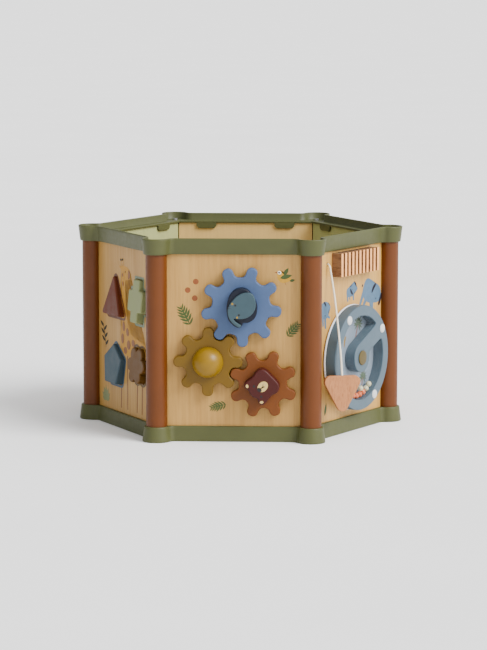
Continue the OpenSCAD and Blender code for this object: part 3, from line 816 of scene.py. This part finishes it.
def hull(ps):
    ps = sorted(set((round(p[0], 5), round(p[1], 5)) for p in ps))

    def half(pp):
        h = []
        for p in pp:
            while len(h) >= 2 and (h[-1][0] - h[-2][0]) * (p[1] - h[-2][1]) - (h[-1][1] - h[-2][1]) * (p[0] - h[-2][0]) <= 0:
                h.pop()
            h.append(p)
        return h
    a, b = half(ps), half(ps[::-1])
    return a[:-1] + b[:-1]


bear_shape = [hull(sum(bear_body, []))] + [ellipse(*p, 5.5, 5.5, n=40) for p in ((-18.4, 1.4), (-0.4, -18.6))]
bear_shape += [hull(ellipse(-17.6, 3, 4.6, 4.6) + ellipse(-6, 11.5, 5, 5)), hull(ellipse(1, -17.8, 4.6, 4.6) + ellipse(10, -6, 5, 5))]
bear = move(soften(star_union(bear_shape), 0.9, 2, 2), *ORANGE)
plate("bear_head", [bear], GF, GF + 20, 2.2, 0, M["bear"], "orange_gear", "bear_knob", res=5)
BF = GF + 20.0
OX, OZ = ORANGE
decal("bear_muzzle", [ellipse(OX + 0.6, OZ + 0.2, 7.6, 5.9, 48)], BF, 0, M["ink_cream"], "orange_gear")
decal("bear_nose", [ellipse(OX - 3.6, OZ - 3.8, 3.2, 2.5, -40)], BF + 0.1, 0, M["ink_black"], "orange_gear")
decal("bear_eyes", [ellipse(OX - 10.6, OZ + 0.6, 1.4, 1.5), ellipse(OX - 1.2, OZ - 12.6, 1.4, 1.5)], BF, 0, M["ink_black"], "orange_gear")
decal("bear_inner_ears", [ellipse(OX - 19.4, OZ + 0.8, 1.7, 2.3, 10), ellipse(OX - 0.8, OZ - 20.0, 2.3, 1.7, 10)], BF, 0, M["ink_cream"], "orange_gear")
decal("bear_mouth", [stroke([(OX - 2.2, OZ - 2.4), (OX + 0.6, OZ + 0.4), (OX + 3.2, OZ + 0.2)], 0.7, 0.5), stroke([(OX + 0.6, OZ + 0.4), (OX + 1.0, OZ + 3.2)], 0.7, 0.5)], BF + 0.1, 0, M["ink_black"], "orange_gear")

# ---------------------------------------------------------------- sorter blocks, leaning nose-up in their holes


def lean(c):
    m = Matrix.Translation((c[0], c[1], (P_OUT + P_IN) / 2)) @ Matrix.Rotation(-math.radians(6), 4, "X") @ Matrix.Translation((0, 0, -(P_OUT + P_IN) / 2))
    return m


def corner_round(pts, r, n=6):
    out = []
    m = len(pts)
    for i in range(m):
        p0, p1, p2 = Vector(pts[i - 1]), Vector(pts[i]), Vector(pts[(i + 1) % m])
        a, b = (p0 - p1).normalized(), (p2 - p1).normalized()
        half = a.angle(b) / 2
        t = r / math.tan(half)
        c = p1 + (a + b).normalized() * (r / math.sin(half))
        s, e = p1 + a * t, p1 + b * t
        a0 = math.atan2(s.y - c.y, s.x - c.x)
        a1 = math.atan2(e.y - c.y, e.x - c.x)
        while a1 - a0 > math.pi:
            a1 -= 2 * math.pi
        while a1 - a0 < -math.pi:
            a1 += 2 * math.pi
        for j in range(n + 1):
            q = a0 + (a1 - a0) * j / n
            out.append((c.x + r * math.cos(q), c.y + r * math.sin(q)))
    return out


def hull_round(pts, r):
    return hull([q for p in pts for q in ellipse(p[0], p[1], r, r, n=40)])


def shape(i, g=0.0):
    if i == 0:
        return hull_round([(0, 31), (-23, -15), (23, -15)], 3 + g)
    if i == 1:
        a, b, c, d = 10 + g, 21 + g, 14 + g, 28.5 + g
        r = 2.6
        return corner_round([(-a, -d), (a, -d), (a, -c), (b, -c), (b, c), (a, c), (a, d), (-a, d), (-a, c), (-b, c), (-b, -c), (-a, -c)], r)
    if i == 2:
        return hull_round([(0, 23.5), (-23.5, 6.5), (-15.5, -24), (15.5, -24), (23.5, 6.5)], 2.5 + g)
    petals = [ellipse(0, 0, 18 + g, 18 + g, n=60)] + [ellipse(*turn((0, 16.5), 60 * k + 30), 9 + g, 9 + g, n=40) for k in range(6)]
    return soften(star_union(petals), 0.8, 2, 1)


BLOCKS = (("triangle_block", (-30.5, 167), "brick"), ("cross_block", (43, 175.7), "sage"), ("house_block", (-30.5, 84), "slate"), ("flower_block", (43, 90.7), "ochre"))
for i, (nm, c, mt) in enumerate(BLOCKS):
    plate(nm + "_wood", [shape(i)], 4.5 - 26, 4.5, 1.8, 5, M[mt], nm, nm, pre=lean(c), res=4)
    hole = move(shape(i, 1.3), *c)
    rim_line = move(shape(i, 4.6), *c)
    plate(nm.replace("_block", "_hole_border"), [rim_line, hole], P_OUT - 0.02, P_OUT + 0.14, 0.03, 5, M[mt + "_edge"], "root", res=1)

# ---------------------------------------------------------------- bead drum
DC = (3.1, 99.0)
PB, RB, RF = -1.2, 1.3, 16.5


def ring_prof(r0, r1, n0, n1, e):
    return [(r0, n0 + e), (r0, n1 - e), (r0 + e, n1), (r1 - e, n1), (r1 - e * 0.3, n1 - e * 0.3), (r1, n1 - e), (r1, n0 + e), (r1 - e * 0.3, n0 + e * 0.3), (r1 - e, n0), (r0 + e, n0)]


lathe("drum_back_disc", ring_prof(4.06, 70, PB, RB, 0.7), DC, 1, M["plate"], "drum", "drum_back_plate", 120)
win = []
ARM, HUB, WIN = 25.5, 20.0, 56.0
# one C-shaped window: the arm's two edges stand 20 above and 3 below the axle, along its own direction
t_in, t_out = math.degrees(math.asin(-3 / HUB)), math.degrees(math.asin(-3 / WIN))
top_out = math.degrees(math.asin(20 / WIN))
c_win = arc((0, 0), WIN, top_out, 360 + t_out, 150) + arc((0, 0), HUB, 360 + t_in, 90, 70)
c_win = soften(c_win, 0.7, 5, 3)
windows = [[turn(p, ARM) for p in c_win]]
ring_loops = [ellipse(0, 0, 69.5, 69.5, n=160)] + windows
plate("drum_spoked_ring", [[(p[0] + DC[0], p[1] + DC[1]) for p in lp] for lp in ring_loops], RB, RF, 1.1, 1, M["ring"], "drum", "drum_ring", res=4)
lathe("drum_liner_print", [(0, RB - 0.02), (56.4, RB - 0.02), (56.4, RB + 0.08), (0, RB + 0.1)], DC, 1, M["liner"], "drum", (), 96)
for i, a in enumerate((32, 122, 212, 302)):
    pc = (DC[0] + 62.6 * math.cos(math.radians(a)), DC[1] + 62.6 * math.sin(math.radians(a)))
    pin = lathe(f"drum_pin_{i}", [(0, RF - 0.2), (5.8, RF - 0.2), (6.0, RF + 0.1), (5.75, RF + 0.55), (5.0, RF + 1.05), (3.7, RF + 1.5), (2.0, RF + 1.82), (0, RF + 1.95)], pc, 1, M["pin"], "drum", "drum_pins" if i == 0 else (), 40)
lathe("drum_hub_cap", [(0, RF - 0.2), (9.3, RF - 0.2), (9.7, RF + 0.2), (9.7, RF + 1.1), (9.4, RF + 1.45), (8.9, RF + 1.6), (0, RF + 1.6)], DC, 1, M["cap"], "drum", "drum_cap", 64)

# loose wooden beads, each drilled through
orbit, mid = WIN - 4 - 0.4, (RB + 14.1) / 2
spots = [(orbit, a) for a in (-101, -91, -81, -71, -61, -51)] + [(orbit - 7.1, -76)]
kinds = ["bead_o", "bead_o", "bead_o", "bead_o", "bead_c", "bead_c", "bead_c"]
for i, ((r, a), kd) in enumerate(zip(spots, kinds)):
    c = (DC[0] + r * math.cos(math.radians(a)), DC[1] + r * math.sin(math.radians(a)))
    hr = 1.0
    t0 = math.degrees(math.asin(hr / 4))
    prof = [(4 * math.sin(math.radians(t)), 4 * math.cos(math.radians(t))) for t in [t0 + (180 - 2 * t0) * j / 22 for j in range(23)]]
    spin = Matrix.Translation((c[0], c[1], mid)) @ Matrix.Rotation(math.radians(37 * i + 20), 4, "Y") @ Matrix.Rotation(math.radians(63 * i + 70), 4, "X")
    lathe(f"drum_bead_{i}", prof, (0, 0), 1, M[kd], "beads", "drum_beads" if i == 0 else (), 36, pre=spin)

# ---------------------------------------------------------------- guiro
GU, GZ = (-43.7, 54.5), (210.0, 241.0)
pitch = (GU[1] - GU[0] - 5) / 10


def rect(x0, y0, x1, y1):
    return [(x0, y0), (x1, y0), (x1, y1), (x0, y1)]


plate("guiro_base", [rect(GU[0] + 0.2, GZ[0] + 0.2, GU[1] - 0.2, GZ[1] - 0.2)], P_OUT, 4.05, 0.4, 1, M["groove"], "root", "guiro_block", res=2)
for i in range(11):
    u0 = GU[0] + pitch * i
    plate(f"guiro_ridge_{i}", [corner_round(rect(u0, GZ[0], u0 + 5, GZ[1]), 0.8, 3)], P_OUT if i in (0, 10) else 2.0, 12.0, 0.7, 1, M["ridge"], "root", res=3, side_mat=M["walnut"])

# ---------------------------------------------------------------- striker
SC = (-65.0, 25.8, 84.9)
sm = Matrix.Translation((SC[0], SC[2], SC[1])) @ Matrix.Rotation(math.radians(-45), 4, "Y")
tri = hull(ellipse(16, -8, 8, 8, n=60) + ellipse(-16, -8, 8, 8, n=60) + ellipse(0, -39.5, 7.5, 7.5, n=60))
tri = resample(tri, 1.2)
# the striker's side faces carry painted shade
plate("striker_wedge", [tri], -3.5, 3.5, 1.1, 1, M["striker"], "striker", "striker", pre=sm, res=4, side_mat=M["striker_side_painted_shade"])

# ---------------------------------------------------------------- prints
PN = P_OUT


def fern(cx, cy, deg, length, pairs=6, w=1.0):
    """A palm-like frond, from its foot: a thin midrib with paired narrow leaflets."""
    out = [leaf(0, 0, length * 1.04, length * 0.085 * w, 0)]
    for i in range(pairs):
        t = 0.05 + 0.76 * i / (pairs - 1)
        ln = length * (0.46 - 0.24 * abs(t - 0.33) / 0.65)
        for s in (-1, 1):
            out.append(leaf(length * t, 0, ln, ln * 0.255 * w, s * (50 - 18 * t)))
    return [move(p, cx, cy, deg) for p in out]


decal("front_dots", [ellipse(-49.1, 208.4, 3.7, 3.7), ellipse(-59.6, 197.3, 3.7, 3.7), ellipse(-50.5, 186.9, 3.7, 3.7)], PN, 0, M["ink_terra"])
decal("front_leaves", fern(-56, 151.5, 118, 29) + fern(68.8, 137.4, 50, 24) + fern(-9.6, 48.6, 194, 22.5), PN, 0, M["ink_green"])
bx, bz = 64.0, 216.2


def bird(p):
    return move(p, bx, bz, 0, 1.22)


decal("bird_body", [bird(blob([(-6.5, 3.5), (-3.5, 6.6), (-0.8, 3.0), (4, 0.5), (8.4, -2.6), (4.5, -6.2), (-2, -7.0), (-6, -3.0)]))], PN, 0, M["ink_yellow"])
decal("bird_wings", [bird(leaf(0.5, 1, 9.0, 4.0, 58)), bird(leaf(-3.5, -2.2, 13, 4.8, 14)), bird(leaf(6.4, -5.2, 6.0, 3.0, 12))], PN + 0.06, 0, M["ink_green"])
decal("bird_beak", [bird([(-6.6, 4.8), (-9.6, 3.6), (-6.4, 2.8)])], PN, 0, M["ink_terra"])
decal("bird_eye_white", [bird(ellipse(-4.2, 3.6, 1.9, 1.9))], PN + 0.06, 0, M["ink_white"])
decal("bird_eye", [bird(ellipse(-4.6, 3.6, 0.95, 0.95))], PN + 0.12, 0, M["ink_black"])
decal("bird_legs", [bird(stroke([(1.5, -6.6), (2.4, -9.0)], 0.5))], PN, 0, M["ink_terra"])

# three plain elephants: one bowed over the drum, and two calves
big = [
    blob([(41, 192), (46, 197.4), (52.5, 198.4), (60, 195.6), (68, 191), (76, 188.4), (82, 184), (85.4, 177), (85.2, 170), (80.5, 165.6), (74, 163.8), (66, 164.5), (56, 165), (48, 167.5), (42, 171), (38.6, 176), (37.6, 184.6)], 6),
    stroke([(41.5, 184), (34.6, 173), (30.4, 166)], 7.0, 4.4), stroke([(47, 173), (42, 167.5), (38.4, 161)], 6.0, 4.2), stroke([(60, 168), (60.6, 156)], 11.0, 8.0),
]
calf_a = [
    blob([(-4.8, 188.6), (0.6, 191.6), (6.6, 192), (10, 195.6), (15, 198), (19, 194.6), (20.8, 190.4), (23.4, 187.6), (19.6, 184.8), (14.6, 183.4), (12.4, 179.4), (5, 178.6), (-2, 178.8), (-5.2, 182)], 6),
    stroke([(-3.2, 183), (-2.2, 174)], 4.2, 2.8), stroke([(2.8, 181), (3.0, 175.8)], 3.0, 2.2), stroke([(11.8, 183), (12.8, 174.4)], 4.4, 3.0),
]
calf_b = [
    blob([(-68.6, 176), (-62, 179), (-54, 177.6), (-48.4, 173.6), (-47, 169.4), (-52.2, 165.6), (-52.4, 160), (-56, 156.8), (-62, 156.4), (-68, 158.6), (-69.4, 168)], 6),
    stroke([(-55, 160), (-49.4, 157)], 4.4, 3.0), stroke([(-60.4, 159), (-59.6, 145)], 5.0, 3.6), stroke([(-66, 160), (-65.4, 148)], 4.4, 3.2),
]
decal("elephant_prints", big + calf_a + calf_b, PN, 1, M["ink_blue"])
decal("elephant_lines", [
    stroke([(71.4, 189.0), (66.4, 187), (63.2, 183.4), (61.4, 178.4)], 2.4, 1.6), ellipse(71.4, 169.4, 0.9, 0.9, n=14), stroke([(86.2, 173.6), (84.0, 168.6), (80.2, 161.6)], 3.4, 4.6), ellipse(36.0, 190.2, 1.2, 1.8, n=16),
    stroke([(4.4, 188.8), (5.2, 185.6), (7.4, 182.8), (10.6, 181.6)], 1.3, 1.8), stroke([(15.4, 197.2), (18.2, 194.6), (19.6, 191.2)], 2.0, 1.2), ellipse(9.0, 187.4, 0.6, 0.6, n=14),
    stroke([(-63.4, 178.2), (-60.4, 176.4), (-58.6, 173.2)], 2.0, 1.2), stroke([(-52.0, 176.4), (-49.2, 173.2)], 1.0, 0.8), ellipse(-60.6, 160.6, 0.8, 0.8, n=14)], PN + 0.3, 1, M["ink_navy"])
decal("right_leaf", [leaf(-60.5, 28.5, 17, 5.2, 76)], PN, 1, M["ink_green"])

# drum prints: two palms and bananas on the liner
LN = RB + 0.09


def palm(x, y, h, deg, s=1.0):
    top = turn((h * 0.10, h), deg)
    tx, ty = x + top[0], y + top[1]
    fronds = []
    for a in (-160, -132, -48, -18, 8, 36, 66, 96, 126, 156, 186):
        fronds.append(leaf(tx, ty, 12.5 * s, 2.8 * s, a + deg))
    return [stroke([(x, y), (x + turn((h * 0.02, h * 0.5), deg)[0], y + turn((h * 0.02, h * 0.5), deg)[1]), (tx, ty)], 1.7, 1.0)], fronds


t1, f1 = palm(9, 117, 26, -14)
t2, f2 = palm(28.3, 56.5, 12.5, -6, 0.85)
decal("palm_trunks", t1 + t2, LN, 1, M["ink_terra"], "drum", 0.06)
decal("palm_fronds", f1 + f2, LN + 0.12, 1, M["ink_palm"], "drum", 0.06)
decal("banana_prints", [stroke([(-15.4, 127), (-18.2, 121), (-18.4, 114.6)], 3.2, 1.4), stroke([(-30, 88), (-31.5, 83), (-30.5, 78)], 2.8, 1.2)], LN, 1, M["ink_ochre"], "drum", 0.06)

# giraffe, twig and grass on the left panel
gir = [
    blob([(-14, 213), (-12.5, 217.4), (-7, 218), (0, 217.6), (7, 216), (13, 212.4), (15.4, 208), (12.6, 202.6), (6, 200.2), (-0.6, 199), (-1.4, 184), (0.4, 166), (4.6, 147), (12, 134), (22, 127.4), (40, 123.4), (60, 118), (66, 108), (64, 98), (45, 95), (20, 97), (0, 99.4), (-12, 103.6), (-17.6, 113), (-16.4, 125), (-13, 140), (-12.4, 165), (-12.8, 190), (-13.6, 204)], 6),
    stroke([(-11.4, 216), (-14.0, 224.0)], 1.4, 1.1),
    stroke([(-7.4, 216.6), (-8.6, 224.8)], 1.4, 1.1),
    leaf(-11.5, 213.6, 9.5, 4.0, 160),
]
legs = [stroke([(x0, 102), (x1, 27)], 3.6, 2.2) for x0, x1 in ((-13, -16), (4.6, 4.3), (37, 33.3), (51.6, 49))]
decal("giraffe_body", gir, PN, 5, M["ink_sand"])
decal("giraffe_legs", legs, PN - 0.01, 5, M["ink_brown"])
spots = [ellipse(-6.4, 137, 4.0, 6.4, 6), ellipse(5.4, 130.6, 4.2, 5.6, 24), ellipse(-10.2, 120.4, 4.4, 6.8), ellipse(8.8, 114, 5.4, 6.4), ellipse(-1.6, 105.4, 5.4, 4.6), ellipse(23, 118, 5.4, 4.6)]
nose = [blob([(9.4, 213.6), (14, 211), (15.2, 207.6), (12.4, 203.2), (8.4, 201.8), (7.6, 207.6)]), ellipse(-9.4, 205.4, 1.8, 2.4), ellipse(-8.4, 194, 2.0, 3.2)]
decal("giraffe_spots", spots + nose, PN + 0.3, 5, M["ink_spot"])
decal("giraffe_eye", [ellipse(-0.8, 210.4, 1.0, 1.0), ellipse(-14.3, 225.2, 1.9, 1.5), ellipse(-8.8, 226, 1.9, 1.5)], PN + 0.45, 5, M["ink_dark"])
decal("left_twig", [stroke([(-72.5, 133), (-67.4, 118), (-63.8, 102)], 0.8, 0.6)] + [leaf(-71.4 + 1.15 * i, 129.6 - 4.9 * i, 12.5, 4.2, 38 if i % 2 else 146) for i in range(6)], PN, 5, M["ink_dark"])
decal("left_grass", [leaf(-64.5, 30.4, ln, 6.4, g) for ln, g in ((20, 92), (18, 116), (18, 66), (15.5, 142), (15.5, 40), (12, 166), (12, 16))] + [ellipse(-64.5, 32.4, 6, 3.0)], PN, 5, M["ink_sage"])

# rear panels: plain veneer with a few printed ferns
for k in (2, 3, 4):
    decal(f"rear_ferns_{k}", fern(-52, 60, 62, 40) + fern(40, 150, 118, 36) + fern(8, 96, 84, 30), PN, k, M["ink_green"])
    decal(f"rear_dots_{k}", [ellipse(-30, 190, 3.7, 3.7), ellipse(-22, 201, 3.7, 3.7), ellipse(52, 92, 3.7, 3.7)], PN, k, M["ink_terra"])

# ---------------------------------------------------------------- floor and light
me = bpy.data.meshes.new("floor")
S = 60.0
me.from_pydata([(-S, -S, 0), (S, -S, 0), (S, S, 0), (-S, S, 0)], [], [(0, 1, 2, 3)])
floor = bpy.data.objects.new("floor", me)
scene.collection.objects.link(floor)
fm = Mat("floor_paper")
fm.color(fm.ramp(fm.noise(fm.co, 3, 2), [(0.3, C(243, 243, 243)), (0.7, C(246, 246, 246))]))
fm.b.inputs["Roughness"].default_value = 0.9
fm.b.inputs["Specular IOR Level"].default_value = 0.1
me.materials.append(fm.m)

world = bpy.data.worlds.new("world")
scene.world = world
world.use_nodes = True
wt = world.node_tree
bg = wt.nodes["Background"]
wc = wt.nodes.new("ShaderNodeTexCoord")
wd = wt.nodes.new("ShaderNodeVectorMath")
wd.operation = "DOT_PRODUCT"
wd.inputs[1].default_value = (0.82, -0.28, 0.50)
wt.links.new(wc.outputs["Generated"], wd.inputs[0])
wm = wt.nodes.new("ShaderNodeMapRange")
wm.inputs["From Min"].default_value = -0.8
wm.inputs["From Max"].default_value = 1.0
wm.inputs["To Min"].default_value = 0.25
wm.inputs["To Max"].default_value = 1.75
wt.links.new(wd.outputs["Value"], wm.inputs["Value"])
bg.inputs["Color"].default_value = (1.0, 1.0, 1.0, 1)
wt.links.new(wm.outputs["Result"], bg.inputs["Strength"])


def sun(name, az, el, strength, angle):
    d = bpy.data.lights.new(name, "SUN")
    d.energy = strength
    d.angle = math.radians(angle)
    o = bpy.data.objects.new(name, d)
    scene.collection.objects.link(o)
    # az is measured from the front (-Y) towards +X
    v = Vector((math.sin(math.radians(az)) * math.cos(math.radians(el)), -math.cos(math.radians(az)) * math.cos(math.radians(el)), math.sin(math.radians(el))))
    o.rotation_euler = v.to_track_quat("Z", "Y").to_euler()
    return o


sun("key", 60, 40, 5.6, 34)
